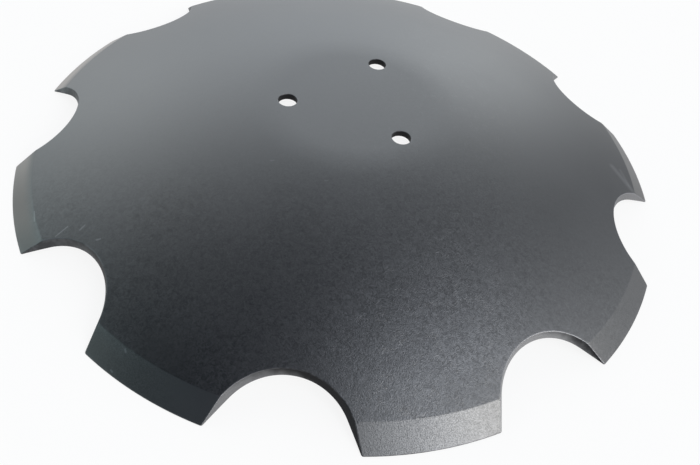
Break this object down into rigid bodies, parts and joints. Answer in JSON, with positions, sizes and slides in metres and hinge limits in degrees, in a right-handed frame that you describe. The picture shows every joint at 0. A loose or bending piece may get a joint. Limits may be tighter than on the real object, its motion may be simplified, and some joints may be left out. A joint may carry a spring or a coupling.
{
  "type": "harrow disc blade",
  "caption": "Dished steel harrow disc with flared scallop notches round the rim, a ground bevelled edge and a flat hub seat with bolt holes.",
  "frame": {"origin": "middle of the bolt circle on the flat hub seat, on the convex face", "axes": "+Z along the disc's axis, out of the convex face towards the hub; one rim notch faces -Y"},
  "size_m": [0.46, 0.4563, 0.0458],
  "materials": {
    "coated_steel": "thin satin dark grey coating over hot formed steel, faint scale texture"
  },
  "bodies": {
    "root": {"disc_blade": "coated_steel"}
  },
  "joints": []
}
